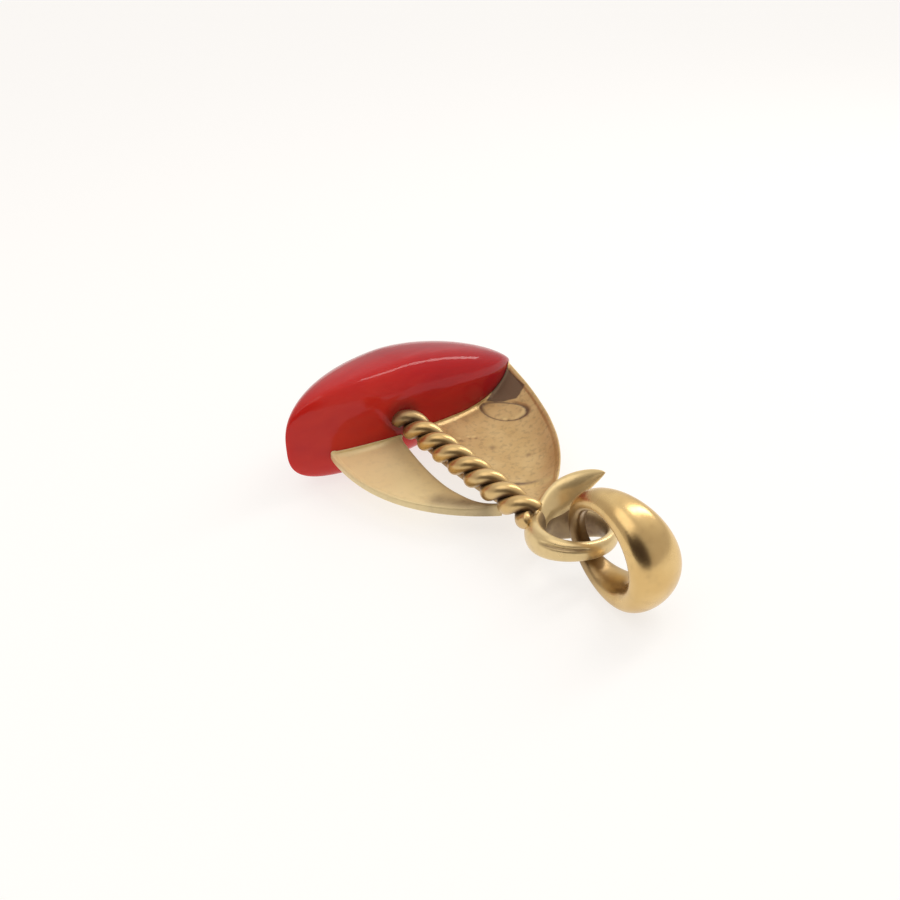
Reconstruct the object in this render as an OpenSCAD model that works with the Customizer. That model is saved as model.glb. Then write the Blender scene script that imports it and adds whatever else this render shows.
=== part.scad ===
// A sailing-boat pendant that lies on its back: a polished stone hull, a twisted-wire mast
// soldered in one with two dished sails and a top loop, and a loose tapered bail.
// It is drawn with the mast on the Y axis, running to -Y from the deck, and the sails
// looking up. Then it is turned a little, so that its lowest points lie on Z = 0.

/* [Hull] */
// Length of the stone, from the blunt end to the pointed end
hull_length = 15.7; // [14:0.1:18]
// Distance of the blunt end from the mast
blunt_end = 6.9; // [6:0.1:8]
// Widest beam of the stone
hull_beam = 6.1; // [5:0.1:7]
// Rise of the domed deck over the widest line
deck_rise = 1.7; // [1.2:0.1:2.4]
// Depth of the stone under the widest line
keel_depth = 3.8; // [2.8:0.1:4.6]

/* [Mast] */
// Length of the twisted wire that shows over the deck; the sails and the rings follow it
mast_length = 9.9; // [9:0.1:11]
// Diameter of each of the two strands
strand_d = 0.84; // [0.7:0.02:1]
// Length of one full turn of the twist
twist_pitch = 2.7; // [2:0.1:4]
// Place of the mast's foot along the hull
mast_x = -0.25; // [-0.4:0.05:0]
// Lean of the mast towards the hull's pointed end, in degrees
mast_lean = 1.2; // [0:0.1:2]
// Height of the mast's middle
mast_z = 0.95; // [0.9:0.05:1.1]
// Diameter of the peg that goes into the stone
peg_d = 1.2; // [0.8:0.1:1.4]
// Depth of the peg in the stone
peg_length = 1.6; // [1:0.1:2.5]

/* [Sails] */
// Thickness of the gold sheet
sheet_t = 0.4; // [0.3:0.05:0.6]
// Extra thickness of the rim along each outer edge
rim_extra = 0.1; // [0:0.02:0.3]
// Height of the jib's outer edge
jib_rise = -0.1; // [-0.2:0.05:0.6]
// Height of the main sail's outer edge
main_rise = 0.85; // [0.4:0.05:1.2]
// Depth of the main sail's belly at its foot
main_belly = 0.4; // [0.1:0.05:0.6]
// Drop of both sails' inner edges
luff_drop = 0.2; // [0:0.05:0.3]
// How far both sails sag between the hull and the masthead
sail_sag = 1.1; // [0:0.1:1.2]
// Gap between the metal and the stone
foot_gap = 0.12; // [0.05:0.01:0.3]

/* [Top loop] */
// Mean radius of the loop
loop_radius = 1.88; // [1.82:0.02:2]
// Thickness of the loop's wall at the masthead
loop_wall = 1; // [0.7:0.05:1.1]
// Height of the loop's band at the masthead
loop_band = 1.65; // [1.2:0.05:1.8]
// Thickness of the loop's outer arm
loop_arm = 0.62; // [0.4:0.02:0.7]
// Extra depth of the loop's wall at its far side
loop_drop = 0.6; // [0:0.05:1.3]
// Height of the spur's tip over the loop
spur_rise = 2.6; // [2:0.1:2.8]

/* [Bail] */
// Inner diameter of the bail
bail_hole_d = 3.75; // [3.65:0.05:4]
// Wall of the bail at its fat end
bail_wall = 1.6; // [1.2:0.1:2.2]
// Width of the bail's band at its fat end
bail_width = 2.8; // [1.8:0.1:3.2]
// Thickness of the bail where it runs through the loop
bail_neck = 0.75; // [0.6:0.05:0.95]
// How much the bail's upper shoulder stands out on each side
bail_shoulder = 0.1; // [0:0.05:0.5]

/* [Hidden] */

tiny = 0.02;
fine = 96;

// How the turned pendant lies: small turns about X and Y, and the way to the middle of its box
pitch = 3.48;
roll = 0.97;
set_down = [-0.963, 7.002, 2.246];
module lying() translate(set_down) rotate([pitch, roll, 0]) children();

// Skins a row of rings that all have the same number of points
module loft(rings, closed = false) {
    count = len(rings[0]);
    last = len(rings) - 1;
    sides = [for (i = [0:closed ? last : last - 1], j = [0:count - 1])
        let (k = (j + 1) % count, a = i * count, b = ((i + 1) % (last + 1)) * count)
        each [[a + j, a + k, b + k], [a + j, b + k, b + j]]];
    ends = closed ? []
        : [[for (j = [count - 1:-1:0]) j], [for (j = [0:count - 1]) last * count + j]];
    polyhedron([for (ring = rings) each ring], concat(sides, ends));
}

function mix(a, b, t) = a + (b - a) * t;
function power(v, e) = sign(v) * pow(abs(v), e);
// From 1 in the direction "at" down to 0 opposite; a bigger "swell" keeps it near that direction
function fat_part(a, at, swell) = pow(0.5 + 0.5 * cos(a - at), swell);

// Hull: every station is a rounded oval between the domed deck and the keel
hull_rings = 24;
hull_sides = 32;
hull_squareness = 2.3;
deck_level = 1.2;
hull_z = 0.73;
widest_x = 0.5;
pointed_end = hull_length - blunt_end;
// Exponents of the two halves of each outline, the pointed end's first
beam_form = [[1.65, 0.72], [3.6, 0.345]];
deck_form = [[4.35, 0.81], [1.5, 0.87]];
keel_form = [[1.92, 0.84], [1.92, 0.84]];

// How full the stone is at x, from 0 at an end to 1 at the widest station
function fullness(x, form) =
    let (half = x > widest_x ? 0 : 1,
         reach = half == 0 ? pointed_end - widest_x : blunt_end + widest_x)
    pow(max(0, 1 - pow(abs(x - widest_x) / reach, form[half][0])), form[half][1]);
function half_beam(x) = max(tiny, hull_beam / 2 * fullness(x, beam_form));
function deck_height(x) = max(tiny, deck_rise * fullness(x, deck_form));
function keel_height(x) = max(tiny, keel_depth * fullness(x, keel_form));
function deck_y(x, z) =
    let (off = min(0.99, abs(z - hull_z) / half_beam(x)))
    deck_level - deck_height(x) * pow(1 - pow(off, hull_squareness), 1 / hull_squareness);
function hull_ring(x) = [for (j = [0:hull_sides - 1])
    let (a = 360 * j / hull_sides, e = 2 / hull_squareness,
         reach = cos(a) > 0 ? deck_height(x) : keel_height(x))
    [x, deck_level - reach * power(cos(a), e), hull_z + half_beam(x) * power(sin(a), e)]];

// The mast's foot is just over the stone; its peg goes on into a bore
foot_y = deck_y(mast_x, mast_z) - foot_gap;
bore_gap = 0.1;
module at_mast() translate([mast_x, foot_y, mast_z]) rotate([0, 0, mast_lean]) children();

module stone_hull() {
    color("firebrick") lying() difference() {
        loft([for (i = [0:hull_rings]) hull_ring(
            -blunt_end + hull_length * (0.5 - 0.5 * cos(180 * i / hull_rings)))]);
        at_mast() rotate([-90, 0, 0])
            cylinder(d = peg_d + 2 * bore_gap, h = foot_gap + peg_length + 2 * bore_gap, $fn = fine);
    }
}

// Sails: two edge curves each, from the foot to the head, with the sheet spanned between them.
// Their lengths along the mast are shares of its length.
jib_luff = [[-0.42, -0.01], [-0.7, -0.258], [-1.67, -0.743], [-0.1, -0.925]];
jib_leech = [[-4.64, 0.095], [-4.89, -0.209], [-4.2, -0.607], [-0.35, -0.93]];
jib_curl = 2.6;
main_luff = [[0.2, -0.03], [0.35, -0.354], [0.35, -0.707], [0, -1.01]];
main_leech = [[8.37, 0.046], [8.25, -0.283], [5.5, -0.985], [0.3, -1.071]];
main_curl = 4;
across = [0, 0.15, 0.32, 0.5, 0.67, 0.8, 0.9, 0.96, 1];
sail_rows = 16;
rim_reach = 0.07;
head_lift = 0.6;
head_fall = 0.4;
foot_reach = 0.6;

function bezier(p, t) = pow(1 - t, 3) * p[0] + 3 * t * pow(1 - t, 2) * p[1]
    + 3 * t * t * (1 - t) * p[2] + pow(t, 3) * p[3];
function half_thickness(t) = sheet_t / 2 + rim_extra / 2 * exp(-pow((1 - t) / rim_reach, 2));
// A point of the sheet, s along the sail from the foot and t across it from the mast, on its
// upper face (1) or its lower one (-1); each face's foot follows the stone
function sail_point(luff, leech, rise, curl, belly, s, t, face) =
    let (flat = mix(bezier(luff, s), bezier(leech, s), t),
         y = flat[1] * mast_length,
         z = mix(head_lift * pow(s, 3) - luff_drop, rise * (1 - head_fall * pow(s, 3)), pow(t, curl))
             - belly * (1 - s * s) * sin(180 * pow(t, 1.5)) + face * half_thickness(t)
             - sail_sag * (1 - pow(1 - s, 3)) * (1 - s),
         foot = min(y + foot_reach, deck_y(flat[0], z) - foot_gap))
    [flat[0], mix(y, foot, pow(1 - s, 6)), z];
module sail(luff, leech, rise, curl, belly) {
    rows = [for (i = [0:sail_rows]) let (s = i / sail_rows) concat(
        [for (t = across) sail_point(luff, leech, rise, curl, belly, s, t, 1)],
        [for (k = [len(across) - 1:-1:0])
            sail_point(luff, leech, rise, curl, belly, s, across[k], -1)])];
    loft(leech[0][0] > luff[0][0] ? rows : [for (i = [sail_rows:-1:0]) rows[i]]);
}

// Mast: two strands wound round each other as chains of short rods, cut flat over the stone;
// how far each runs on beyond the masthead, into the loop's wall
mast_run_in = [0.6, 1];
steps_per_turn = 12;
strand_sides = 10;
strand_off = 0.48;

function strand_point(side, i) =
    let (a = side - 360 * i / steps_per_turn, off = strand_d * strand_off)
    [off * cos(a), -i * twist_pitch / steps_per_turn, off * sin(a)];
module strand(side, run_in) {
    for (i = [0:round((mast_length + run_in) / twist_pitch * steps_per_turn) - 1]) hull()
        for (end = [i, i + 1]) translate(strand_point(side, end))
            sphere(d = strand_d, $fn = strand_sides);
}
module mast() {
    at_mast() {
        difference() {
            union() {
                strand(0, mast_run_in[0]);
                strand(180, mast_run_in[1]);
            }
            translate([-strand_d, 0, -strand_d]) cube(2 * strand_d);
        }
        translate([0, -strand_d, 0]) rotate([-90, 0, 0])
            cylinder(d = peg_d, h = strand_d + foot_gap + peg_length, $fn = fine / 2);
    }
}

// Top loop: a closed ring, thin on its outer arm, with a spur that leaves it at the masthead
loop_mid = [1.14, -mast_length - 2.91, 0.47];
loop_turn = [-13, 8, 0];
loop_arm_band = 0.9;
loop_fat_at = 117;
loop_swell = 1.66;
loop_drop_at = 45;
loop_drop_swell = 3.5;
loop_rings = 36;
loop_sides = 12;
spur_from = 115;
spur_to = 0;
spur_wall = 1;
spur_band = 2;
spur_skirt = 0.6;
spur_start = 0.3;
spur_out = 0.25;
spur_lean = 0.2;
spur_rings = 16;

// An oval that reaches from low to high and leans outwards at its top
function oval_ring(mid, out, half_wall, low, high, lean = 0) = [for (j = [0:loop_sides - 1])
    let (a = 360 * j / loop_sides)
    mid + (half_wall * cos(a) + lean * sin(a)) * out + [0, 0, mix(low, high, 0.5 + 0.5 * sin(a))]];
function loop_ring(a) =
    let (out = [cos(a), sin(a), 0], fat = fat_part(a, loop_fat_at, loop_swell),
         half_band = mix(loop_arm_band, loop_band, fat) / 2)
    oval_ring(loop_radius * out, out, mix(loop_arm, loop_wall, fat) / 2,
        -half_band - loop_drop * fat_part(a, loop_drop_at, loop_drop_swell), half_band);
function spur_ring(t) =
    let (a = mix(spur_from, spur_to, t), out = [cos(a), sin(a), 0],
         taper = max(tiny, pow(1 - pow(t, 2.2), 0.75)),
         half_band = spur_band / 2 * taper * (1 - spur_start * pow(1 - t, 3)))
    oval_ring((loop_radius + spur_out * t) * out + [0, 0, spur_rise * t], out, spur_wall / 2 * taper,
        -half_band - spur_skirt * taper * sin(180 * pow(t, 0.8)), half_band,
        spur_lean * taper * pow(sin(180 * t), 2));
module top_loop() {
    translate(loop_mid) rotate(loop_turn) {
        loft([for (i = [0:loop_rings - 1]) loop_ring(360 * i / loop_rings)], closed = true);
        loft([for (i = [spur_rings:-1:0]) spur_ring(i / spur_rings)]);
    }
}

// Solder that closes the masthead over the sails' heads and against the loop
solder_mid = [0.12, -mast_length - 0.85, 0.6];
solder_size = [1.3, 1.3, 1.25];
module solder() {
    translate(solder_mid) scale(solder_size) sphere(d = 1, $fn = 20);
}

module rigging() {
    color("goldenrod") lying() {
        mast();
        sail(jib_luff, jib_leech, jib_rise, jib_curl, 0);
        sail(main_luff, main_leech, main_rise, main_curl, main_belly);
        solder();
        top_loop();
    }
}

// Bail: a ring through the loop that widens and thickens towards its far end, round outside
// and flatter inside, with a true round hole
bail_mid = loop_mid + [-0.156, -2.58, 1.284];
bail_turn = [-4.9, -4, 1.9];
bail_fat_at = -6;
bail_swell = 1.25;
bail_inner_round = 0.6;
bail_shoulder_at = 125;
bail_shoulder_swell = 8;
bail_rings = 40;
bail_sides = 16;
bail_skim = 0.08;

function bail_ring(a) =
    let (out = [0, -cos(a), sin(a)], fat = fat_part(a, bail_fat_at, bail_swell),
         shoulder = bail_shoulder * fat_part(a, bail_shoulder_at, bail_shoulder_swell),
         half_wall = mix(bail_neck, bail_wall, fat) / 2 + shoulder / 5)
    [for (j = [0:bail_sides - 1])
        let (b = 360 * j / bail_sides,
             swell = cos(b) < 0 ? -pow(-cos(b), bail_inner_round) : cos(b))
        (bail_hole_d / 2 - bail_skim + (half_wall + bail_skim / 2) * (1 + swell)) * out
        + [(mix(bail_neck, bail_width, fat) / 2 + shoulder) * sin(b), 0, 0]];
module bail() {
    color("goldenrod") lying() translate(bail_mid) rotate(bail_turn) difference() {
        loft([for (i = [0:bail_rings - 1]) bail_ring(-360 * i / bail_rings)], closed = true);
        rotate([0, 90, 0]) cylinder(d = bail_hole_d, h = bail_width + 2, center = true, $fn = fine);
    }
}

stone_hull();
rigging();
bail();
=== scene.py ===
# %% [markdown]
# # A sailing-boat pendant
# The pendant is a small boat, lying on its side: a polished red stone is the hull, and one
# soldered gold piece is the mast, the two sails and the top loop. A loose gold bail runs
# through the loop. The imported model gives the places and sizes, and this script gives every
# piece its fine form and finish. First the frame is loaded.

# %% Load the frame
import math

import bmesh
import bpy
from mathutils import Matrix, Vector, noise


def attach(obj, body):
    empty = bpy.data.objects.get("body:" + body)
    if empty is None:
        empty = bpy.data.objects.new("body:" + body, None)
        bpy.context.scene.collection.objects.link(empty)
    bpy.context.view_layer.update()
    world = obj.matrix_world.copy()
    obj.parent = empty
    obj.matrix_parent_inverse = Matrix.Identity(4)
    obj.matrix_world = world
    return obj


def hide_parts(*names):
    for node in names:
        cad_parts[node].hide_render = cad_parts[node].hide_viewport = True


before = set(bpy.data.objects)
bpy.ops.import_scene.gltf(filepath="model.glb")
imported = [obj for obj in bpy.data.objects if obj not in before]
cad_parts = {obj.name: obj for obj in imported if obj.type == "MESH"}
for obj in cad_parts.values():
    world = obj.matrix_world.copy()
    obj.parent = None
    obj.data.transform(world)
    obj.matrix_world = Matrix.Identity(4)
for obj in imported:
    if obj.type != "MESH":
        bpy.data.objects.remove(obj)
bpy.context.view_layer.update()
scene = bpy.context.scene
print("nodes in the frame:", sorted(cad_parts))

# %% [markdown]
# ## The boat's own directions
# A boat is easiest to shape in its own directions, in millimetres: X runs along the hull to the
# bow, the mast stands near x = 0 and runs to -Y, and the sails look up to +Z. The real pendant
# doesn't lie level, because its hull and its bail touch the table at different heights. So each
# piece is shaped in the boat's directions, and one matrix turns it, sets it down and makes it
# metres. That is simpler than turning every formula, and it leaves each object at the origin
# with its place in its mesh.

# %% From the boat's directions to the frame
MM = 0.001
PITCH = math.radians(3.48)
ROLL = math.radians(0.97)
SET_DOWN = Vector((-0.963, 7.002, 2.246))
turn = Matrix.Rotation(ROLL, 4, "Y") @ Matrix.Rotation(PITCH, 4, "X")
lay_down = Matrix.Scale(MM, 4) @ Matrix.Translation(SET_DOWN) @ turn


def mix(a, b, t):
    return a + (b - a) * t


def smooth(low, high, value):
    """0 under low, 1 over high, with a soft step between them."""
    t = min(1, max(0, (value - low) / (high - low)))
    return t * t * (3 - 2 * t)


def bump(distance, width):
    """1 at no distance, falling softly to nothing about two widths away."""
    return math.exp(-(distance / width) ** 2)


def cosd(a):
    return math.cos(math.radians(a))


def sind(a):
    return math.sin(math.radians(a))


# %% [markdown]
# ## The camera
# The photograph looks down on the pendant from in front of the bail, a little from the left.
# The camera stands there in the boat's directions, and its axes are turned with the boat. A
# 36 mm lens on a 36 mm sensor, 50 mm away, gives the photograph's strong perspective, in
# which the bail looks larger than it is. The Standard view transform keeps the red and the
# gold as strong as they are in the photograph, where the default one would wash them out.

# %% Camera
CAMERA_AZIMUTH = -37
CAMERA_ELEVATION = 37
CAMERA_DISTANCE = 50
LOOK_AT = Vector((0.78, -3.33, 0))


def direction(azimuth, elevation):
    """The way from the boat towards something seen at that azimuth and elevation."""
    return Vector((sind(azimuth) * cosd(elevation), -cosd(azimuth) * cosd(elevation), sind(elevation)))


def aimed(place, target):
    """A matrix in the frame for a camera or a lamp that stands at place and looks at target."""
    back = (place - target).normalized()
    right = Vector((0, 0, 1)).cross(back).normalized()
    axes = Matrix((right, back.cross(right), back)).transposed().to_4x4()
    return Matrix.Translation(lay_down @ place) @ turn @ axes


camera = bpy.data.objects.new("camera", bpy.data.cameras.new("camera"))
camera.data.lens = 36
camera.data.sensor_width = 36
camera.data.clip_start = MM
camera.matrix_world = aimed(
    LOOK_AT + direction(CAMERA_AZIMUTH, CAMERA_ELEVATION) * CAMERA_DISTANCE, LOOK_AT)
scene.collection.objects.link(camera)
scene.camera = camera
scene.view_settings.view_transform = "Standard"
print("camera stands at", [round(v / MM, 1) for v in camera.matrix_world.translation], "mm")

# %% [markdown]
# ## Floor and light
# Polished metal shows its surroundings more than itself, so the light decides how gold looks.
# Two reflections in the photograph tell what stood around the pendant. The streak on the stone
# is a tall window on the right, and the brown slot on the bail is something dark beside the
# camera. So an area lamp is the window, and the world is a warm grey room with that dark patch
# in it and a brighter wall behind the boat. A large soft lamp overhead fills the shadows. Part
# of the floor's brightness is emission, which keeps the table pale and its shadows faint.

# %% Floor
FLOOR_HALF = 0.4
FLOOR_COLOUR = (0.3, 0.297, 0.29, 1)
FLOOR_GLOW = (1, 0.978, 0.952, 1)
FLOOR_GLOW_STRENGTH = 0.74
floor_bm = bmesh.new()
bmesh.ops.create_grid(floor_bm, x_segments=1, y_segments=1, size=FLOOR_HALF)
floor_mesh = bpy.data.meshes.new("floor")
floor_bm.to_mesh(floor_mesh)
floor_bm.free()
floor = bpy.data.objects.new("floor", floor_mesh)
scene.collection.objects.link(floor)
floor_paint = bpy.data.materials.new("pale_floor")
floor_paint.use_nodes = True
floor_shader = floor_paint.node_tree.nodes["Principled BSDF"]
floor_shader.inputs["Base Color"].default_value = FLOOR_COLOUR
floor_shader.inputs["Roughness"].default_value = 0.8
floor_shader.inputs["Specular IOR Level"].default_value = 0.1
floor_shader.inputs["Emission Color"].default_value = FLOOR_GLOW
floor_shader.inputs["Emission Strength"].default_value = FLOOR_GLOW_STRENGTH
floor.data.materials.append(floor_paint)

# %% World
WORLD_STRENGTH = 1.0
ROOM_COLOUR = (0.60, 0.56, 0.53)
WALL_COLOUR = (0.98, 0.965, 0.945)
WALL_AT = (125, 46)
DARK_EDGE_COLOUR = (0.08, 0.055, 0.05)
DARK_COLOUR = (0.06, 0.04, 0.04)
DARK_AT = (-48, 18)
world = bpy.data.worlds.new("studio")
world.use_nodes = True
scene.world = world
tree = world.node_tree
tree.nodes.clear()


def add(tree, kind, **settings):
    """Adds a node. A name with an input's label sets that input, any other the node's own setting."""
    node = tree.nodes.new(kind)
    for name, value in settings.items():
        if name in node.inputs:
            node.inputs[name].default_value = value
        else:
            setattr(node, name, value)
    return node


def wire(tree, start, end):
    tree.links.new(start, end)


def maths(tree, operation, a, b=None, clamp=False):
    """One Math node. Each input is a plain number or another node's output."""
    node = add(tree, "ShaderNodeMath", operation=operation, use_clamp=clamp)
    for socket, value in zip(node.inputs, (a, b)):
        if isinstance(value, bpy.types.NodeSocket):
            wire(tree, value, socket)
        elif value is not None:
            socket.default_value = value
    return node.outputs[0]


def ramp(tree, value, stops, interpolation="EASE"):
    """A colour ramp through (place, colour) stops."""
    node = add(tree, "ShaderNodeValToRGB")
    node.color_ramp.interpolation = interpolation
    elements = node.color_ramp.elements
    while len(elements) < len(stops):
        elements.new(0.5)
    for element, (place, colour) in zip(elements, stops):
        element.position = place
        element.color = (*colour, 1)
    wire(tree, value, node.inputs[0])
    return node.outputs["Color"]


world_way = add(tree, "ShaderNodeTexCoord")


def facing(place):
    """How near a direction is to that azimuth and elevation: 1 straight at it, 0 square to it."""
    node = add(tree, "ShaderNodeVectorMath", operation="DOT_PRODUCT")
    node.inputs[1].default_value = turn.to_3x3() @ direction(*place)
    wire(tree, world_way.outputs["Generated"], node.inputs[0])
    return node.outputs["Value"]


wall = ramp(tree, facing(WALL_AT), [(0.45, ROOM_COLOUR), (0.95, WALL_COLOUR)])
dark = ramp(tree, facing(DARK_AT), [(0.71, (1, 1, 1)), (0.80, DARK_EDGE_COLOUR), (1, DARK_COLOUR)])
both = add(tree, "ShaderNodeMix", data_type="RGBA", blend_type="MULTIPLY", Factor=1.0)
wire(tree, wall, both.inputs[6])
wire(tree, dark, both.inputs[7])
studio = add(tree, "ShaderNodeBackground", Strength=WORLD_STRENGTH)
wire(tree, both.outputs[2], studio.inputs["Color"])
wire(tree, studio.outputs[0], add(tree, "ShaderNodeOutputWorld").inputs["Surface"])


# %% Lamps
def softbox(name, azimuth, elevation, distance, width, height, watts, colour):
    """A rectangular area lamp that looks at the boat from that direction, in millimetres."""
    lamp = bpy.data.lights.new(name, "AREA")
    lamp.shape = "RECTANGLE"
    lamp.size = width * MM
    lamp.size_y = height * MM
    lamp.energy = watts
    lamp.color = colour
    holder = bpy.data.objects.new(name, lamp)
    holder.matrix_world = aimed(LOOK_AT + direction(azimuth, elevation) * distance, LOOK_AT)
    scene.collection.objects.link(holder)
    print(name, "is", distance, "mm away,", width, "by", height, "mm")


softbox("window", azimuth=88, elevation=49, distance=90, width=16, height=80, watts=0.024,
        colour=(1, 0.98, 0.95))
softbox("fill", azimuth=-88, elevation=66, distance=120, width=90, height=90, watts=0.026,
        colour=(1, 0.97, 0.93))

# %% [markdown]
# ## Worked gold
# The metal is 14 to 18 carat gold that has been worn: the high places are polished, and the
# places that a cloth doesn't reach hold a brown film. A plain metal shader looks like new
# plastic chrome here. So one node group gives all the gold its cloudy colour, its film, its
# small dark specks and its fine uneven surface, and each material sets how much of each. The
# film lies where the piece's own stain_and_shade attribute says, which is worked out when the
# piece is shaped. The same brown also paints shade into hollows and between parts, and a dark
# reflection onto the main sail. Paleness takes the colour towards a light yellow. Five finishes
# come of it: the bail is polished, the loop and its spur are satin, the main sail is a dull
# sheet, the jib a pale one whose brightness is a painted highlight, and the mast is drawn wire.

# %% Node group: worked gold
CLOUD_COLOURS = [(0.3, (0.68, 0.455, 0.185)), (0.7, (0.78, 0.555, 0.25))]
PALE_COLOUR = (0.98, 0.80, 0.43, 1)
FILM_AND_SHADE_COLOUR = (0.19, 0.12, 0.07, 1)
FILM_DULLS = 0.15
CLOUDS_DULL = 0.12
CLOUD_RELIEF = 1.5
gold_group = bpy.data.node_groups.new("worked_gold", "ShaderNodeTree")
for name, default in (("Film", 1.0), ("Cloud Size", 1.6), ("Grain Size", 0.22), ("Dullness", 0.15),
                      ("Mottle", 0.1), ("Paleness", 0.0)):
    socket = gold_group.interface.new_socket(name, in_out="INPUT", socket_type="NodeSocketFloat")
    socket.default_value = default
gold_group.interface.new_socket("Colour", in_out="OUTPUT", socket_type="NodeSocketColor")
gold_group.interface.new_socket("Roughness", in_out="OUTPUT", socket_type="NodeSocketFloat")
gold_group.interface.new_socket("Height", in_out="OUTPUT", socket_type="NodeSocketFloat")
asked = add(gold_group, "NodeGroupInput")
given = add(gold_group, "NodeGroupOutput")
spot = add(gold_group, "ShaderNodeTexCoord").outputs["Object"]


def blotches(tree, where, size, detail=2.0):
    """Soft noise with blotches about size millimetres across; size is a number or an output."""
    node = add(tree, "ShaderNodeTexNoise", Detail=detail)
    if isinstance(size, bpy.types.NodeSocket):
        wire(tree, maths(tree, "DIVIDE", 1 / MM, size), node.inputs["Scale"])
    else:
        node.inputs["Scale"].default_value = 1 / (size * MM)
    wire(tree, where, node.inputs["Vector"])
    return node.outputs["Fac"]


clouds = blotches(gold_group, spot, asked.outputs["Cloud Size"], 3.0)
grain = blotches(gold_group, spot, asked.outputs["Grain Size"], 2.0)
# This attribute marks real film and also painted shade and a painted dark reflection.
stain_and_shade = add(gold_group, "ShaderNodeAttribute", attribute_name="stain_and_shade").outputs["Fac"]
patchy = maths(gold_group, "MULTIPLY", stain_and_shade, maths(gold_group, "ADD", 0.55, clouds))
specks = maths(gold_group, "MULTIPLY", maths(gold_group, "SUBTRACT", grain, 0.5), 4, clamp=True)
film_and_shade = maths(gold_group, "ADD", maths(gold_group, "MULTIPLY", patchy, asked.outputs["Film"]),
             maths(gold_group, "MULTIPLY", specks, asked.outputs["Mottle"]), clamp=True)
warm = ramp(gold_group, clouds, CLOUD_COLOURS)
fresh = add(gold_group, "ShaderNodeMix", data_type="RGBA")
wire(gold_group, asked.outputs["Paleness"], fresh.inputs["Factor"])
wire(gold_group, warm, fresh.inputs[6])
fresh.inputs[7].default_value = PALE_COLOUR
coated = add(gold_group, "ShaderNodeMix", data_type="RGBA")
wire(gold_group, film_and_shade, coated.inputs["Factor"])
wire(gold_group, fresh.outputs[2], coated.inputs[6])
coated.inputs[7].default_value = FILM_AND_SHADE_COLOUR
wire(gold_group, coated.outputs[2], given.inputs["Colour"])
uneven = maths(gold_group, "MULTIPLY", maths(gold_group, "SUBTRACT", clouds, 0.5), CLOUDS_DULL)
uneven = maths(gold_group, "ADD", maths(gold_group, "MULTIPLY", film_and_shade, FILM_DULLS), uneven)
wire(gold_group, maths(gold_group, "ADD", asked.outputs["Dullness"], uneven),
     given.inputs["Roughness"])
wire(gold_group, maths(gold_group, "ADD", grain, maths(gold_group, "MULTIPLY", clouds, CLOUD_RELIEF)),
     given.inputs["Height"])


# %% Gold materials
def metal(name, metallic, film_and_shade, mottle, dullness, cloud, grain, relief, paleness=0.0):
    """A gold finish. Cloud and grain are sizes, and relief is a depth, in millimetres."""
    material = bpy.data.materials.new(name)
    material.use_nodes = True
    tree = material.node_tree
    shader = tree.nodes["Principled BSDF"]
    shader.inputs["Metallic"].default_value = metallic
    worked = add(tree, "ShaderNodeGroup", node_tree=gold_group)
    for label, value in (("Film", film_and_shade), ("Mottle", mottle), ("Dullness", dullness),
                         ("Cloud Size", cloud), ("Grain Size", grain), ("Paleness", paleness)):
        worked.inputs[label].default_value = value
    wire(tree, worked.outputs["Colour"], shader.inputs["Base Color"])
    wire(tree, worked.outputs["Roughness"], shader.inputs["Roughness"])
    height = add(tree, "ShaderNodeBump", Distance=relief * MM)
    height.inputs["Strength"].default_value = 1
    wire(tree, worked.outputs["Height"], height.inputs["Height"])
    wire(tree, height.outputs["Normal"], shader.inputs["Normal"])
    return material


gold_cast = metal("gold_cast", metallic=1.0, film_and_shade=0.9, mottle=0.12, dullness=0.25, cloud=2.4,
                  grain=0.5, relief=0.006)
gold_satin = metal("gold_satin", metallic=0.6, film_and_shade=0.9, mottle=0.1, dullness=0.28, cloud=2.0,
                   grain=0.4, relief=0.006, paleness=0.5)
gold_sheet = metal("gold_sheet", metallic=0.5, film_and_shade=1.0, mottle=0.3, dullness=0.38, cloud=1.5,
                   grain=0.28, relief=0.008)
# The jib's pale colour and low metal are painted light: they stand in for the bright reflection its
# sheet shows.
gold_pale_painted_light = metal("gold_pale_painted_light", metallic=0.12, film_and_shade=0.9, mottle=0.08, dullness=0.34, cloud=2.0,
                  grain=0.35, relief=0.008, paleness=0.85)
gold_wire = metal("gold_wire", metallic=0.85, film_and_shade=1.0, mottle=0.12, dullness=0.3, cloud=1.2,
                  grain=0.3, relief=0.006)
print("gold finishes:", [m.name for m in (gold_cast, gold_satin, gold_sheet, gold_pale_painted_light, gold_wire)])

# %% [markdown]
# ## Polished stone
# The hull is a translucent red stone, cut round and highly polished. Light enters it, spreads
# and comes back orange where the stone is thin, so the shader has a little subsurface light.
# Its colour isn't even: soft bands run along it, the blunt end is painted more orange, as light
# that shines through the thin stone, and a painted shade makes it darker from the deck to the
# keel. A very low, long waviness is what a hand-polished stone has, and it makes the streak of
# light uneven. Round the mast's foot a dark patch is painted shade, with the wire's dark
# reflection. One number, the tone, sums all this up, and a ramp turns it into red.

# %% Stone material
STONE_COLOURS = [(0.1, (0.36, 0.013, 0.020)), (0.5, (0.53, 0.015, 0.016)),
                 (1.0, (0.70, 0.038, 0.020))]
BAND_SIZE = 1.1
BAND_STRETCH = 6
BAND_TURN = 14
DEPTH_SIZE = 5.0
# Painted light: the stone is made brighter and more orange towards its blunt end, as light that shines
# through the thin stone.
STERN_GLOW_RATE = 1 / 20
# Painted shade: the stone is made darker from the deck towards the keel.
KEEL_SHADE_RATE = 0.2
KEEL_SHADE_Y = 7.6
KEEL_SHADE_MOST = 0.1
POLISH_RELIEF = 0.035
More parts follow.
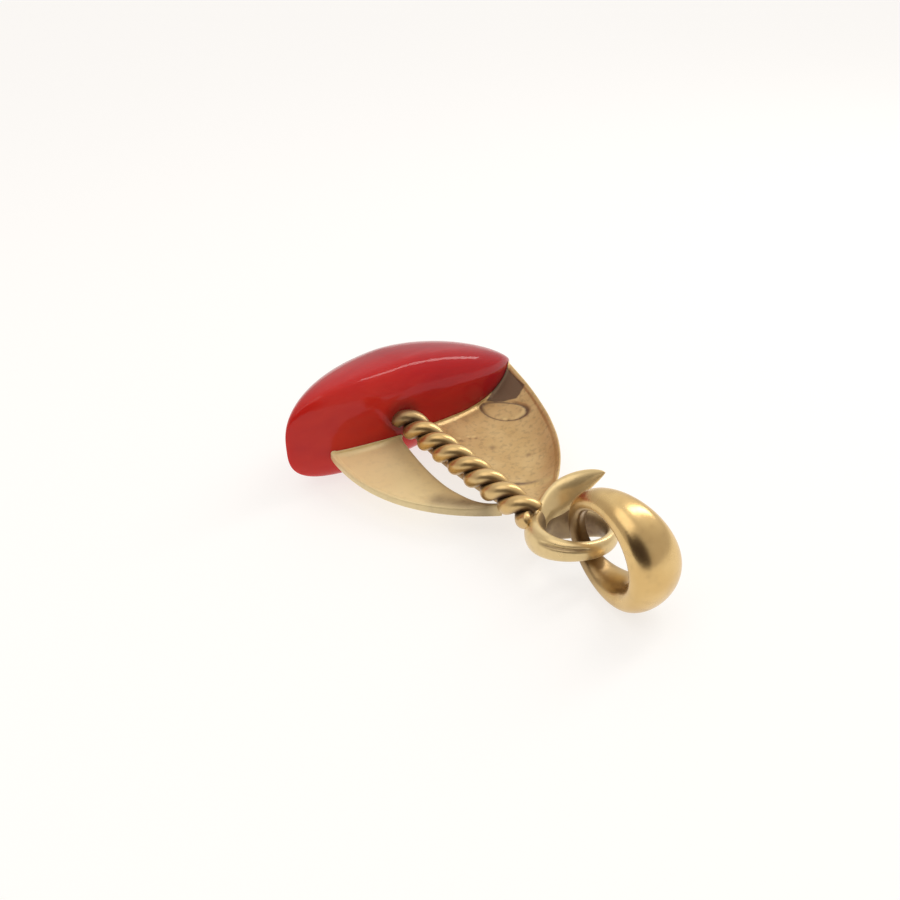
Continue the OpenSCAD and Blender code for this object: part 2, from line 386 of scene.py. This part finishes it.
# Painted shade: a dark patch round the mast's foot, with the wire's dark reflection in it.
FOOT_SPOT = Vector((-0.4, -0.45, 1.1))
FOOT_SHADE_SIZE = 2.2
FOOT_SHADE_COLOUR = (0.10, 0.022, 0.018, 1)
stone_red = bpy.data.materials.new("red_stone")
stone_red.use_nodes = True
tree = stone_red.node_tree
shader = tree.nodes["Principled BSDF"]
shader.inputs["Roughness"].default_value = 0.08
shader.inputs["IOR"].default_value = 1.5
shader.inputs["Specular IOR Level"].default_value = 0.24
shader.inputs["Subsurface Weight"].default_value = 0.3
shader.inputs["Subsurface Radius"].default_value = (1.0, 0.12, 0.08)
shader.inputs["Subsurface Scale"].default_value = 1.2 * MM
spot = add(tree, "ShaderNodeTexCoord").outputs["Object"]
banding = add(tree, "ShaderNodeMapping", vector_type="TEXTURE",
              Rotation=(0, 0, math.radians(BAND_TURN)))
banding.inputs["Scale"].default_value = (BAND_STRETCH, 1, 1)
wire(tree, spot, banding.inputs["Vector"])
bands = blotches(tree, banding.outputs[0], BAND_SIZE, 3.0)
depths = blotches(tree, spot, DEPTH_SIZE, 2.0)
split = add(tree, "ShaderNodeSeparateXYZ")
wire(tree, spot, split.inputs[0])
# Painted light through the thin stern.
stern_glow = maths(tree, "MULTIPLY", split.outputs["X"], -STERN_GLOW_RATE / MM)
# Painted shade towards the keel.
keel_shade = maths(tree, "SUBTRACT", KEEL_SHADE_Y * MM, split.outputs["Y"])
keel_shade = maths(tree, "MULTIPLY", keel_shade, KEEL_SHADE_RATE / MM)
tone = maths(tree, "ADD", maths(tree, "MULTIPLY", bands, 0.5),
             maths(tree, "ADD", stern_glow, maths(tree, "MULTIPLY", depths, 0.35)))
tone = maths(tree, "ADD", tone, maths(tree, "MINIMUM", keel_shade, KEEL_SHADE_MOST))
body = ramp(tree, tone, STONE_COLOURS, "LINEAR")
# Painted shade round the mast's foot, with the wire's reflection in it.
away = add(tree, "ShaderNodeVectorMath", operation="DISTANCE")
wire(tree, spot, away.inputs[0])
away.inputs[1].default_value = lay_down @ FOOT_SPOT
shade_near_foot = ramp(tree, maths(tree, "DIVIDE", away.outputs["Value"], FOOT_SHADE_SIZE * MM),
                 [(0.3, (0.45, 0.45, 0.45)), (0.65, (0, 0, 0))])
foot_shaded = add(tree, "ShaderNodeMix", data_type="RGBA")
wire(tree, shade_near_foot, foot_shaded.inputs["Factor"])
wire(tree, body, foot_shaded.inputs[6])
foot_shaded.inputs[7].default_value = FOOT_SHADE_COLOUR
wire(tree, foot_shaded.outputs[2], shader.inputs["Base Color"])
stone_bump = add(tree, "ShaderNodeBump", Distance=POLISH_RELIEF * MM)
stone_bump.inputs["Strength"].default_value = 1
wire(tree, bands, stone_bump.inputs["Height"])
wire(tree, stone_bump.outputs["Normal"], shader.inputs["Normal"])
print("the mast's painted_shade is at", [round(v / MM, 1) for v in away.inputs[1].default_value], "mm")

# %% [markdown]
# ## From a bmesh to a piece
# Every piece ends the same way: doubles are merged, its normals are made to point outwards, the
# boat's matrix lays it down, and it gets its finish. It rides on the frame's one body.

# %% Finishing a piece
MERGE_WITHIN = 0.0005


def add_piece(name, bm, material, stain_and_shade_at=None):
    """Makes an object of a bmesh in the boat's millimetres. stain_and_shade_at gives 0 to 1 at a point."""
    bmesh.ops.remove_doubles(bm, verts=bm.verts, dist=MERGE_WITHIN)
    bmesh.ops.recalc_face_normals(bm, faces=bm.faces)
    stain_and_shade_layer = bm.verts.layers.float.new("stain_and_shade")
    if stain_and_shade_at:
        for vert in bm.verts:
            vert[stain_and_shade_layer] = stain_and_shade_at(vert.co)
    bmesh.ops.transform(bm, matrix=lay_down, verts=bm.verts)
    mesh = bpy.data.meshes.new(name)
    bm.to_mesh(mesh)
    bm.free()
    mesh.shade_smooth()
    mesh.materials.append(material)
    piece = bpy.data.objects.new(name, mesh)
    scene.collection.objects.link(piece)
    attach(piece, "root")
    size = [round(v / MM, 2) for v in piece.dimensions]
    print(name, len(mesh.polygons), "faces, open edges:", open_edges(mesh), "size", size, "mm")
    return piece


def open_edges(mesh):
    """How many edges have only one face, which a closed skin has none of."""
    uses = {}
    for polygon in mesh.polygons:
        for key in polygon.edge_keys:
            uses[key] = uses.get(key, 0) + 1
    return sum(1 for count in uses.values() if count == 1)


# %% [markdown]
# ## The hull
# Seen along its length, the stone is a rounded oval at every station, with a low domed deck
# towards the mast and a deep keel away from it. Its beam, deck and keel each grow from nothing
# at the two ends. The beam is blunt at the stern and fine at the bow, and the keel narrows
# alike at both. A UV sphere has just this build, two poles and rings between them, so it is
# laid along the hull and its vertices are moved out to the formulas. Sculpting or subdividing
# a box would give lumps that a polished stone never has.

# %% Hull form
HULL_LENGTH = 15.7
BLUNT_END = 6.9
HULL_BEAM = 6.1
DECK_RISE = 1.7
KEEL_DEPTH = 3.8
DECK_LEVEL = 1.2
HULL_Z = 0.73
WIDEST_X = 0.5
SQUARENESS = 2.3
BEAM_FORM = ((1.65, 0.72), (3.6, 0.345))
DECK_FORM = ((4.35, 0.81), (1.5, 0.87))
KEEL_FORM = ((1.92, 0.84), (1.92, 0.84))


def fullness(x, form):
    """0 at an end of the hull, 1 at its widest station; the form has the bow's exponents first."""
    bow = x > WIDEST_X
    reach = HULL_LENGTH - BLUNT_END - WIDEST_X if bow else BLUNT_END + WIDEST_X
    first, second = form[0] if bow else form[1]
    return max(0, 1 - (abs(x - WIDEST_X) / reach) ** first) ** second


def power(value, exponent):
    return math.copysign(abs(value) ** exponent, value)


def deck_y(x, z):
    """Where the stone's deck lies at that place, for the metal that stands on it."""
    off = min(0.99, abs(z - HULL_Z) / max(0.02, HULL_BEAM / 2 * fullness(x, BEAM_FORM)))
    return DECK_LEVEL - DECK_RISE * fullness(x, DECK_FORM) * (1 - off ** SQUARENESS) ** (1 / SQUARENESS)


# %% Hull
hull_bm = bmesh.new()
bmesh.ops.create_uvsphere(hull_bm, u_segments=144, v_segments=120, radius=1)
for vert in hull_bm.verts:
    ring = math.degrees(math.atan2(vert.co.y, vert.co.x))
    x = -BLUNT_END + HULL_LENGTH * (0.5 - 0.5 * max(-1, min(1, vert.co.z)))
    if vert.co.xy.length < 0.001:
        vert.co = (x, DECK_LEVEL, HULL_Z)
        continue
    side = cosd(ring)
    reach = DECK_RISE * fullness(x, DECK_FORM) if side > 0 else KEEL_DEPTH * fullness(x, KEEL_FORM)
    vert.co = (x, DECK_LEVEL - reach * power(side, 2 / SQUARENESS),
               HULL_Z + HULL_BEAM / 2 * fullness(x, BEAM_FORM) * power(sind(ring), 2 / SQUARENESS))
hull = add_piece("polished_hull", hull_bm, stone_red)
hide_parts("stone_hull")

# %% [markdown]
# ## The sails
# Each sail is a sheet between two edges: the luff beside the mast and the leech outside. It
# hangs a little between the hull and the masthead, and its outer edge is raised to a narrow
# rim. A grid is extruded to get a front and a back with walls between them, and then every
# vertex is carried to its place across and along the sail. The columns crowd towards the leech,
# where the rim needs them. Close to its outline the sheet gets thinner along a quarter circle,
# so that its edges are round and catch the light.

# %% Sail form
MAST_LENGTH = 9.9
SHEET = 0.4
CROWDING = 1.5
SAIL_SAG = 1.1
FOOT_GAP = 0.05
FOOT_REACH = 0.6
FOOT_FADE = 6
HEAD_LIFT = 0.6
HEAD_FALL = 0.4
LUFF_DROP = 0.2
RIM_HEIGHT = 0.05
RIM_WIDTH = 0.2
RIM_STEP = 0.14
EDGE_ROUND = 0.12
JIB_LUFF = ((-0.42, -0.01), (-0.7, -0.258), (-1.67, -0.743), (-0.1, -0.925))
JIB_LEECH = ((-4.64, 0.095), (-4.89, -0.209), (-4.2, -0.607), (-0.35, -0.93))
MAIN_LUFF = ((0.2, -0.03), (0.35, -0.354), (0.35, -0.707), (0, -1.01))
MAIN_LEECH = ((8.37, 0.046), (8.25, -0.283), (5.5, -0.985), (0.3, -1.071))


def bezier(points, t):
    """A point of the curve through four handles; lengths along the mast are shares of its length."""
    weights = ((1 - t) ** 3, 3 * t * (1 - t) ** 2, 3 * t * t * (1 - t), t ** 3)
    return Vector((sum(w * p[0] for w, p in zip(weights, points)),
                   sum(w * p[1] for w, p in zip(weights, points)) * MAST_LENGTH))


def sail(name, luff, leech, rise, curl, belly, rows, columns, relief, material, stain_and_shade_at):
    """One dished sail; the luff stands beside the mast and the leech is the outer edge."""
    bm = bmesh.new()
    bmesh.ops.create_grid(bm, x_segments=columns, y_segments=rows, size=0.5)
    front = bmesh.ops.extrude_face_region(bm, geom=bm.faces[:])["geom"]
    front = {item for item in front if isinstance(item, bmesh.types.BMVert)}
    for vert in bm.verts:
        across = 1 - max(0, 0.5 - vert.co.x) ** CROWDING
        along = 0.5 + vert.co.y
        low, high = bezier(luff, along), bezier(leech, along)
        flat = low.lerp(high, across)
        luff_z = HEAD_LIFT * along ** 3 - LUFF_DROP
        leech_z = rise * (1 - HEAD_FALL * along ** 3)
        middle = mix(luff_z, leech_z, across ** curl)
        middle -= belly * (1 - along ** 2) * math.sin(math.pi * across ** 1.5)
        middle -= SAIL_SAG * (1 - (1 - along) ** 3) * (1 - along)
        width = (high - low).length
        rim = 1 - smooth(RIM_WIDTH, RIM_WIDTH + RIM_STEP, (1 - across) * width)
        inset = min(min(across, 1 - across) * width, min(along, 1 - along) * MAST_LENGTH)
        short = 1 - min(1, inset / EDGE_ROUND)
        half = SHEET / 2 - EDGE_ROUND * (1 - math.sqrt(1 - short ** 2))
        z = middle + (half + RIM_HEIGHT * rim + relief(flat) if vert in front else -half)
        foot = min(flat.y + FOOT_REACH, deck_y(flat.x, z) - FOOT_GAP)
        vert.co = (flat.x, mix(flat.y, foot, (1 - along) ** FOOT_FADE), z)
    add_piece(name, bm, material, stain_and_shade_at)


# %% [markdown]
# ## Marks on the sails
# A worn sheet is never even: it has low waves from the hammer, small dents, and brown film
# where dirt has stayed. The larger sail also has an oval stamp, which is left blank here, a fold
# across its head, and a painted dark reflection of the hull in the corner at the bow. Waves,
# dents, fold and stamp are real relief, so the light picks them out from every side. The film,
# and the painted shade along the mast and the jib's luff, are a stain value.

# %% Waves, dents and the blank stamp
WAVE_SIZE = 1.5
WAVE_HEIGHT = 0.035
# Each dent has its x, its y and its radius.
DENTS = ((4.4, -5.8, 0.2), (3.46, -3.78, 0.25), (5.73, -2.47, 0.1), (2.32, -2.34, 0.12),
         (2.92, -2.42, 0.1), (3.23, -2.58, 0.1), (-1.6, -5.9, 0.25), (-2.5, -5.4, 0.2))
DENT_DEPTH = 0.025
STAMP_MID = Vector((6.02, -1.75))
STAMP_WAY = Vector((0.477, -0.879))
STAMP_HALF_LENGTH = 1.45
STAMP_HALF_WIDTH = 0.68
STAMP_LINE_WIDTH = 0.07
STAMP_DEPTH = 0.07
FOLD_FROM = Vector((1.86, -7.48))
FOLD_TO = Vector((3.75, -8.73))
FOLD_DROP = 0.14
FOLD_STEP = (-0.05, 0.4)
FOLD_RISES = (1.2, 2.4)


def stamp_line(spot):
    """1 on the stamp's oval line, 0 away from it."""
    off = spot - STAMP_MID
    lengthwise = off.dot(STAMP_WAY) / STAMP_HALF_LENGTH
    crosswise = off.dot(STAMP_WAY.orthogonal()) / STAMP_HALF_WIDTH
    return bump((math.hypot(lengthwise, crosswise) - 1) * STAMP_HALF_WIDTH, STAMP_LINE_WIDTH)


def past_fold(spot):
    """Distance past the fold, towards the masthead."""
    way = (FOLD_TO - FOLD_FROM).normalized()
    return (spot - FOLD_FROM).dot(Vector((way.y, -way.x)))


def worn(spot):
    """The waves and dents that both sails have."""
    wave = WAVE_HEIGHT * noise.noise(Vector((spot.x / WAVE_SIZE, spot.y / WAVE_SIZE, 0.3)))
    dents = sum(bump(math.hypot(spot.x - x, spot.y - y), size) for x, y, size in DENTS)
    return wave - DENT_DEPTH * dents


def main_relief(spot):
    """The main sail's own relief: the stamp's line and, past the fold, a lower sheet."""
    fold = FOLD_DROP * smooth(*FOLD_STEP, past_fold(spot)) * smooth(*FOLD_RISES, spot.x)
    return worn(spot) - STAMP_DEPTH * stamp_line(spot) - fold


# %% Film, painted shade and a painted reflection on the sails
MAIN_FILM = 0.12
# Film and painted shade beside the mast, over this reach.
MAST_SIDE = (0.7, 1.5)
FOLD_LINE = 0.12
FOLD_STARTS = (1.4, 1.9)
FOLD_ENDS = (2.2, 3.6)
DENT_FILL = 0.8
# Painted reflection of the hull: the soft edge of the dark corner at the bow.
HULL_REFLECTION_EDGE = 0.04
JIB_FILM = 0.06
# Painted shade along the jib's luff: its width and soft edge.
LUFF_SHADE = 0.25
LUFF_SHADE_FADE = (-0.5, 0.1)
HEAD_DIRT_WIDTH = 0.6
# Painted reflection of the hull: the outline of the dark corner at the bow.
HULL_REFLECTION = (Vector((8.05, 0.45)), Vector((7.86, -1.4)), Vector((7.1, -1.6)), Vector((5.8, -0.3)))
HEAD_DIRT = (Vector((-2.1, -6.3)), Vector((-0.8, -8.4)))


def inside(spot, corners):
    """How far a spot is inside a clockwise outline, or minus how far it is outside."""
    depth = 9
    for a, b in zip(corners, corners[1:] + corners[:1]):
        way = (b - a).normalized()
        depth = min(depth, (spot - a).dot(Vector((way.y, -way.x))))
    return depth


def from_line(spot, line):
    """Distance from a spot to a straight piece of line."""
    way = line[1] - line[0]
    t = min(1, max(0, (spot - line[0]).dot(way) / way.length_squared))
    return (spot - line[0] - way * t).length


def main_film_and_shade(co):
    """Film in the stamp, the dents and the fold; film and painted shade along the mast; and a painted
    dark reflection of the hull in the corner at the bow.
    """
    spot = co.xy
    # Painted reflection: the dark hull seen in the sail's corner at the bow.
    hull_reflection = smooth(-HULL_REFLECTION_EDGE, HULL_REFLECTION_EDGE, inside(spot, HULL_REFLECTION))
    # Film and painted shade beside the mast.
    beside_mast = 1 - smooth(*MAST_SIDE, spot.x)
    fold = smooth(*FOLD_STARTS, spot.x) * (1 - smooth(*FOLD_ENDS, spot.x))
    fold *= bump(past_fold(spot), FOLD_LINE)
    dents = sum(bump(math.hypot(spot.x - x, spot.y - y), DENT_FILL * size) for x, y, size in DENTS)
    marks = 0.35 * beside_mast + 0.75 * fold + 0.5 * dents + 0.75 * stamp_line(spot)
    return min(1, MAIN_FILM + hull_reflection + marks)


def past_luff_shade(co):
    """How far a point is past the painted shade along the jib's luff."""
    along = min(1, max(0, co.y / (JIB_LUFF[-1][1] * MAST_LENGTH)))
    return abs(co.x - bezier(JIB_LUFF, along).x) - LUFF_SHADE


def jib_film_and_shade(co):
    """Film near the jib's head, and painted shade along its luff, where the edge steps down."""
    near_head = bump(from_line(co.xy, HEAD_DIRT), HEAD_DIRT_WIDTH)
    # Painted shade along the luff's edge.
    near_luff = 1 - smooth(*LUFF_SHADE_FADE, past_luff_shade(co))
    return min(1, JIB_FILM + 0.7 * near_head + 0.8 * near_luff)


# %% Both sails
sail("jib", JIB_LUFF, JIB_LEECH, rise=-0.1, curl=2.6, belly=0, rows=130, columns=80,
     relief=worn, material=gold_pale_painted_light, stain_and_shade_at=jib_film_and_shade)
sail("main_sail", MAIN_LUFF, MAIN_LEECH, rise=0.85, curl=4, belly=0.4, rows=190, columns=150,
     relief=main_relief, material=gold_sheet, stain_and_shade_at=main_film_and_shade)

# %% [markdown]
# ## The mast
# The mast is two round wires twisted together. A spin with a step along its axis is a screw
# motion: it carries a circle along a helix, and where the circle stands square to the helix
# the result is a true round wire. The circle has to be turned to that slant first, or the wire
# comes out flattened. The wires start in the stone's deck and run on to the solder and the
# loop's wall. Their cut ends are flat, and none of the four is covered whole: about half of
# each is bare at the masthead, which shows only from close by.

# %% Twisted wires
STRAND_D = 0.84
STRAND_OFF = 0.48 * STRAND_D
TWIST_PITCH = 2.7
STEPS_PER_TURN = 40
WIRE_SIDES = 28
MAST_X = -0.25
MAST_Z = 0.95
MAST_LEAN = 1.2
MAST_SINK = 0.12
MAST_RUN_IN = (0.6, 1.0)
CREVICE = (0.45, 0.72)
# Painted shade: the wires darken over this reach above the stone's deck.
FOOT_SHADE_REACH = (0.5, 2.4)
mast_foot = Vector((MAST_X, deck_y(MAST_X, MAST_Z) + MAST_SINK, MAST_Z))
mast_matrix = Matrix.Translation(mast_foot) @ Matrix.Rotation(math.radians(MAST_LEAN), 4, "Z")
from_mast = mast_matrix.inverted()


def strand(name, start_turn, run_in):
    """One wire of the mast, from the stone's deck to the masthead."""
    bm = bmesh.new()
    lead = TWIST_PITCH / math.tau
    bmesh.ops.create_circle(bm, radius=STRAND_D / 2, segments=WIRE_SIDES)
    slant = Vector((0, 0, 1)).rotation_difference(Vector((0, -lead, -STRAND_OFF))).to_matrix()
    bmesh.ops.rotate(bm, verts=bm.verts, matrix=slant)
    bmesh.ops.translate(bm, verts=bm.verts, vec=(STRAND_OFF, 0, 0))
    bmesh.ops.rotate(bm, verts=bm.verts, matrix=Matrix.Rotation(start_turn, 3, "Y"))
    turns = (MAST_LENGTH + MAST_SINK + run_in) / TWIST_PITCH
    steps = round(turns * STEPS_PER_TURN)
    bmesh.ops.spin(bm, geom=bm.verts[:] + bm.edges[:], cent=(0, 0, 0), axis=(0, 1, 0),
                   dvec=(0, -TWIST_PITCH * turns / steps, 0), angle=math.tau * turns, steps=steps)
    bmesh.ops.holes_fill(bm, edges=[e for e in bm.edges if e.is_boundary], sides=0)
    bmesh.ops.transform(bm, matrix=mast_matrix, verts=bm.verts)

    def groove(co):
        """Darker in the groove between the two wires, with a painted shade that thickens towards the
        foot.
        """
        local = from_mast @ co
        deep = 1 - smooth(*CREVICE, math.hypot(local.x, local.z))
        # Painted shade near the stone's deck.
        shade_near_foot = 1 - smooth(*FOOT_SHADE_REACH, -local.y)
        return min(1, 0.08 + 0.8 * deep + 0.45 * shade_near_foot)

    add_piece(name, bm, gold_wire, groove)


strand("mast_wire_1", start_turn=0, run_in=MAST_RUN_IN[0])
strand("mast_wire_2", start_turn=math.pi, run_in=MAST_RUN_IN[1])


# %% [markdown]
# ## Rings
# The top loop, its spur and the bail are all tubes that run round a centre, with a section
# that changes on the way. So one helper spins a small circle into such a tube, and a formula
# then carries each vertex to its place, given how far round the ring it is and where on the
# section.

# %% A tube to reshape
TUBE_RADIUS = 0.25


def spun_tube(steps, sides, start=0, end=360):
    """A thin ring of radius 1 round Z, from start to end degrees, closed if that is a whole turn."""
    bm = bmesh.new()
    bmesh.ops.create_circle(bm, radius=TUBE_RADIUS, segments=sides)
    bmesh.ops.rotate(bm, verts=bm.verts, matrix=Matrix.Rotation(math.radians(90), 3, "X"))
    bmesh.ops.translate(bm, verts=bm.verts, vec=(1, 0, 0))
    bmesh.ops.rotate(bm, verts=bm.verts, matrix=Matrix.Rotation(math.radians(start), 3, "Z"))
    whole = abs(end - start) == 360
    bmesh.ops.spin(bm, geom=bm.verts[:] + bm.edges[:], cent=(0, 0, 0), axis=(0, 0, 1), dvec=(0, 0, 0),
                   angle=math.radians(end - start), steps=steps, use_merge=whole)
    if not whole:
        bmesh.ops.holes_fill(bm, edges=[e for e in bm.edges if e.is_boundary], sides=0)
    return bm


def reshape(bm, place):
    """Moves each vertex of a spun tube to place(degrees round the ring, degrees round the section)."""
    for vert in bm.verts:
        around = math.degrees(math.atan2(vert.co.y, vert.co.x)) % 360
        section = math.degrees(math.atan2(vert.co.z, vert.co.xy.length - 1))
        vert.co = place(around, section)


def fat_part(around, fattest, swell):
    """1 where the ring is fattest, down to 0 opposite."""
    return (0.5 + 0.5 * cosd(around - fattest)) ** swell


def placed(turns, mid):
    """The matrix of a ring: its turns about X, Y and Z in degrees, and its centre."""
    x, y, z = (math.radians(a) for a in turns)
    return (Matrix.Translation(mid) @ Matrix.Rotation(z, 4, "Z") @ Matrix.Rotation(y, 4, "Y")
            @ Matrix.Rotation(x, 4, "X"))


# %% [markdown]
# ## The top loop
# The loop is a ring that is broad at the masthead, where it is soldered, and thinner on the arm
# that the bail hangs from. Its wall hangs down deepest on the far side. On the side that faces
# the camera it shows two lips with a groove between them; the groove and the ring's inside are
# painted darker, a painted shade.

# %% Top loop
LOOP_MID = Vector((1.14, -12.81, 0.47))
LOOP_TURN = (-13, 8, 0)
LOOP_RADIUS = 1.88
LOOP_WALL = 1.0
LOOP_BAND = 1.65
LOOP_ARM = 0.62
LOOP_ARM_BAND = 0.9
LOOP_FAT_AT = 117
LOOP_SWELL = 1.66
LOOP_DROP = 0.6
LOOP_DROP_AT = 45
LOOP_DROP_SWELL = 3.5
GROOVE_FROM = 186
GROOVE_TO = 243
GROOVE_AT = 26
GROOVE_WIDTH = 7
GROOVE_DEPTH = 0.12
LIP_HALF_WALL = 0.36
LIP_HALF_BAND = 0.5
# Painted shade inside the ring, over this reach from its middle.
INNER_SHADE = (LOOP_RADIUS - 0.28, LOOP_RADIUS + 0.02)


def groove_share(around, section):
    """1 in the middle of the groove between the two lips, 0 away from it."""
    along = smooth(GROOVE_FROM - 10, GROOVE_FROM + 8, around)
    along *= 1 - smooth(GROOVE_TO - 8, GROOVE_TO + 8, around)
    return along * bump(section - GROOVE_AT, GROOVE_WIDTH)


def loop_place(around, section):
    """A point of the loop's skin in its own directions, where it runs round Z."""
    fat = fat_part(around, LOOP_FAT_AT, LOOP_SWELL)
    wall = mix(LOOP_ARM, LOOP_WALL, fat) / 2
    high = mix(LOOP_ARM_BAND, LOOP_BAND, fat) / 2
    low = -high - LOOP_DROP * fat_part(around, LOOP_DROP_AT, LOOP_DROP_SWELL)
    out = LOOP_RADIUS + wall * cosd(section) - GROOVE_DEPTH * groove_share(around, section)
    return Vector((out * cosd(around), out * sind(around), mix(low, high, 0.5 + 0.5 * sind(section))))


loop_matrix = placed(LOOP_TURN, LOOP_MID)
from_loop = loop_matrix.inverted()


def loop_film_and_shade(co):
    """A little film all over, and painted shade inside the ring and in the groove."""
    local = from_loop @ co
    around = math.degrees(math.atan2(local.y, local.x)) % 360
    inner = 1 - smooth(*INNER_SHADE, local.xy.length)
    section = math.degrees(math.atan2(local.z / LIP_HALF_BAND,
                                      (local.xy.length - LOOP_RADIUS) / LIP_HALF_WALL))
    return min(1, 0.08 + 0.75 * inner + groove_share(around, section))


loop_bm = spun_tube(steps=180, sides=72)
reshape(loop_bm, loop_place)
bmesh.ops.transform(loop_bm, matrix=loop_matrix, verts=loop_bm.verts)
add_piece("top_loop", loop_bm, gold_satin, loop_film_and_shade)

# %% [markdown]
# ## The spur
# A broad flat horn leaves the loop at the masthead, stands up behind it like a hood and ends in
# a point that stands free. It is a tube along an arc that rises out of the loop's plane and
# tapers to its tip, with a deeper lower edge in the middle that meets the loop's wall. Halfway
# along, its upper edge leans out a little, as a blade does that was bent over a round bar.

# %% Spur
SPUR_FROM = 115
SPUR_TO = 0
SPUR_WALL = 1.0
SPUR_BAND = 2.0
SPUR_SKIRT = 0.6
SPUR_START = 0.3
SPUR_OUT = 0.25
SPUR_LEAN = 0.2
SPUR_RISE = 2.6
SPUR_TAPER = (2.2, 0.75)
SPUR_SKIRT_SKEW = 0.8
SPUR_BLUNT = 0.01
# Painted shade low on the horn's inside, where it meets the loop behind the bail.
SPUR_SHADE_HEIGHT = (0.2, 0.7)
SPUR_SHADE_SIDE = (0.1, 0.8)


def spur_place(around, section):
    """A point of the horn's skin; t runs from 0 at the masthead to 1 at the tip."""
    t = min(1, max(0, ((around + 180) % 360 - 180 - SPUR_FROM) / (SPUR_TO - SPUR_FROM)))
    taper = max(SPUR_BLUNT, (1 - t ** SPUR_TAPER[0]) ** SPUR_TAPER[1])
    high = SPUR_BAND / 2 * taper * (1 - SPUR_START * (1 - t) ** 3)
    low = -high - SPUR_SKIRT * taper * math.sin(math.pi * t ** SPUR_SKIRT_SKEW)
    lean = SPUR_LEAN * taper * math.sin(math.pi * t) ** 2 * sind(section)
    out = LOOP_RADIUS + SPUR_OUT * t + SPUR_WALL / 2 * taper * cosd(section) + lean
    return Vector((out * cosd(around), out * sind(around),
                   SPUR_RISE * t + mix(low, high, 0.5 + 0.5 * sind(section))))


def spur_film_and_shade(co):
    """Painted shade low down on the inside, where the horn meets the loop behind the bail, over a
    little film.
    """
    local = from_loop @ co
    low_down = 1 - smooth(*SPUR_SHADE_HEIGHT, local.z)
    return min(1, 0.05 + 0.6 * low_down * smooth(*SPUR_SHADE_SIDE, local.x))


spur_bm = spun_tube(steps=90, sides=56, start=SPUR_FROM, end=SPUR_TO)
reshape(spur_bm, spur_place)
bmesh.ops.transform(spur_bm, matrix=loop_matrix, verts=spur_bm.verts)
add_piece("spur", spur_bm, gold_satin, spur_film_and_shade)

# %% [markdown]
# ## Solder at the masthead
# The wires, the sails' heads and the loop meet in a small flowed lump of solder. It is an
# icosphere, pulled to the lump's three sizes, and it covers part of that join.

# %% Solder
SOLDER_SIZE = (1.2, 1.3, 1.15)
SOLDER_MID = (0.12, -MAST_LENGTH - 0.85, 0.6)
SOLDER_FILM = 0.35
solder_bm = bmesh.new()
bmesh.ops.create_icosphere(solder_bm, subdivisions=4, radius=0.5)
bmesh.ops.scale(solder_bm, verts=solder_bm.verts, vec=SOLDER_SIZE)
bmesh.ops.translate(solder_bm, verts=solder_bm.verts, vec=SOLDER_MID)
solder = add_piece("solder", solder_bm, gold_satin, lambda co: SOLDER_FILM)
# The sails, the wires, the loop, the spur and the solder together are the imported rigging.
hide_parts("rigging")

# %% [markdown]
# ## The bail
# The bail is a closed ring, a thin round neck where it runs through the loop and a broad,
# thick band at the far end. Outside it is fully round, and inside it is flatter, so its
# section is a soft D. Its upper shoulder is fuller than its underside, as a hand-filed ring is.

# %% Bail
BAIL_MID = LOOP_MID + Vector((-0.156, -2.58, 1.284))
BAIL_TURN = (-4.9, -4, 1.9)
BAIL_HOLE = 3.75
BAIL_NECK = 0.75
BAIL_WALL = 1.6
BAIL_WIDTH = 2.8
BAIL_FAT_AT = -6
BAIL_SWELL = 1.25
BAIL_INNER_ROUND = 0.6
BAIL_SHOULDER = 0.1
BAIL_SHOULDER_WALL = 0.2
BAIL_SHOULDER_AT = 125
BAIL_SHOULDER_SWELL = 8
# Painted shade on the neck, where it runs through the loop, and inside the ring.
NECK_SHADE_AT = -160
NECK_SHADE_SWELL = 3
BAIL_INNER_SHADE = (BAIL_HOLE / 2 + 0.1, BAIL_HOLE / 2 + 0.5)


def bail_place(around, section):
    """A point of the bail's skin in its own directions, where it runs round X."""
    fat = fat_part(around, BAIL_FAT_AT, BAIL_SWELL)
    shoulder = BAIL_SHOULDER * fat_part(around, BAIL_SHOULDER_AT, BAIL_SHOULDER_SWELL)
    half_wall = mix(BAIL_NECK, BAIL_WALL, fat) / 2 + BAIL_SHOULDER_WALL * shoulder
    inward = cosd(section) < 0
    swell = -((-cosd(section)) ** BAIL_INNER_ROUND) if inward else cosd(section)
    radius = BAIL_HOLE / 2 + half_wall * (1 + swell)
    width = mix(BAIL_NECK, BAIL_WIDTH, fat) / 2 + shoulder
    return Vector((width * sind(section), -radius * cosd(around), radius * sind(around)))


bail_matrix = placed(BAIL_TURN, BAIL_MID)
from_bail = bail_matrix.inverted()


def bail_film_and_shade(co):
    """Painted shade on the neck, where it runs through the loop, and inside the ring, over a little
    film.
    """
    local = from_bail @ co
    around = math.degrees(math.atan2(local.z, -local.y))
    neck = fat_part(around, NECK_SHADE_AT, NECK_SHADE_SWELL)
    inner = 1 - smooth(*BAIL_INNER_SHADE, math.hypot(local.y, local.z))
    return min(1, 0.04 + 0.8 * neck + 0.2 * inner * (1 - neck))


bail_bm = spun_tube(steps=200, sides=72)
reshape(bail_bm, bail_place)
bmesh.ops.transform(bail_bm, matrix=bail_matrix, verts=bail_bm.verts)
bail = add_piece("graduated_bail", bail_bm, gold_cast, bail_film_and_shade)
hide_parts("bail")
